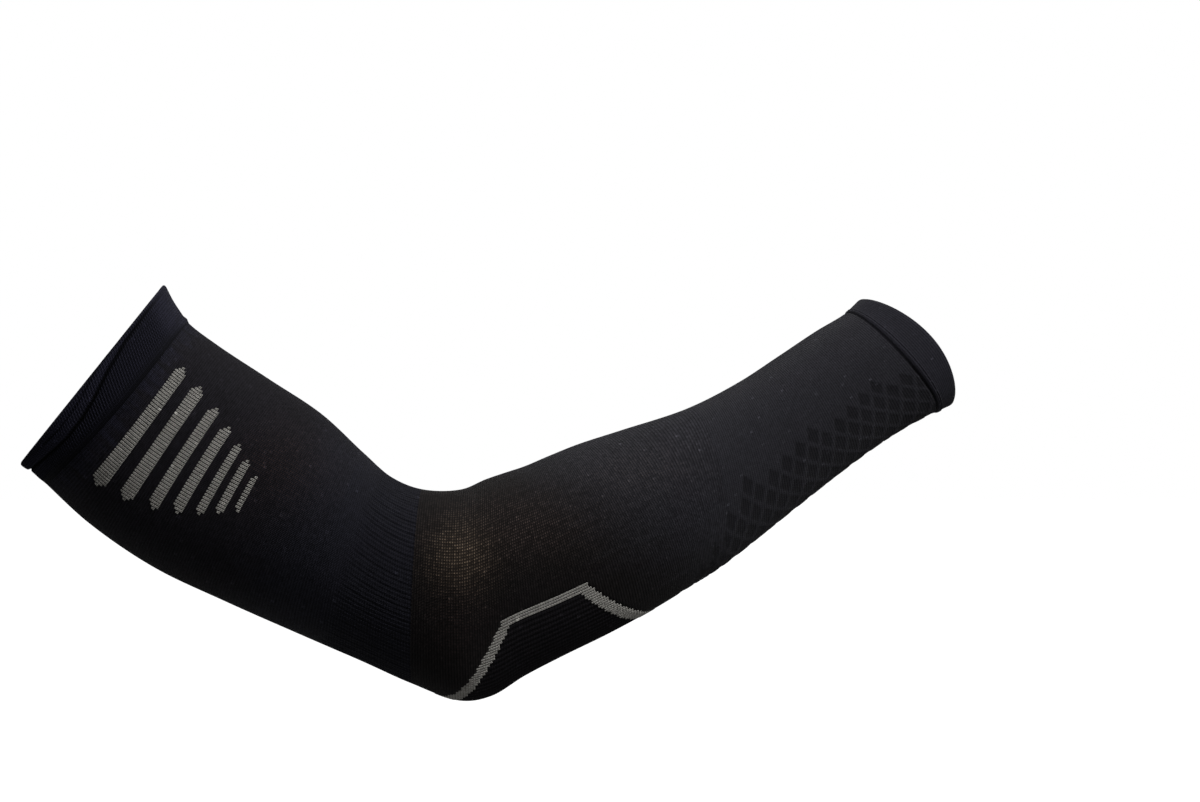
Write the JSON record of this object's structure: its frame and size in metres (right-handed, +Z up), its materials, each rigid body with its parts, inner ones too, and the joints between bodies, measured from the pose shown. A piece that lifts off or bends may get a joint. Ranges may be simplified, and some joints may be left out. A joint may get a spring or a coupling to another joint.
{
  "type": "arm compression sleeve",
  "caption": "Knitted compression sleeve for one arm, worn bent at the elbow, with ribbed biceps cuff, mesh elbow, framed elbow patch and smooth doubled wrist cuff.",
  "frame": {"origin": "centre of the biceps opening", "axes": "+X towards the wrist, +Y from the outer side of the arm to the inner side, +Z up with the elbow at the bottom"},
  "size_m": [0.4376, 0.1401, 0.1914],
  "materials": {
    "cuff_rib": "black-navy elastic rib knit, matt with a faint sheen on the ribs",
    "plain_knit": "black-navy fine plain knit, matt",
    "elbow_rib": "black-navy lengthwise ribs, matt",
    "sheer_mesh": "black open mesh with a warm brown tone where it is thin",
    "patch_rib": "black close rib knit, matt",
    "grey_yarn": "mid grey yarn knitted into the sleeve, matt",
    "wrist_welt": "black-navy smooth doubled knit, soft sheen"
  },
  "bodies": {
    "root": {"biceps_cuff": "cuff_rib", "upper_arm_knit": "plain_knit", "elbow_rib_band": "elbow_rib", "elbow_mesh": "sheer_mesh", "elbow_pad": "patch_rib", "elbow_stripe": "grey_yarn", "forearm_knit": "plain_knit", "wrist_cuff": "wrist_welt"}
  },
  "joints": []
}
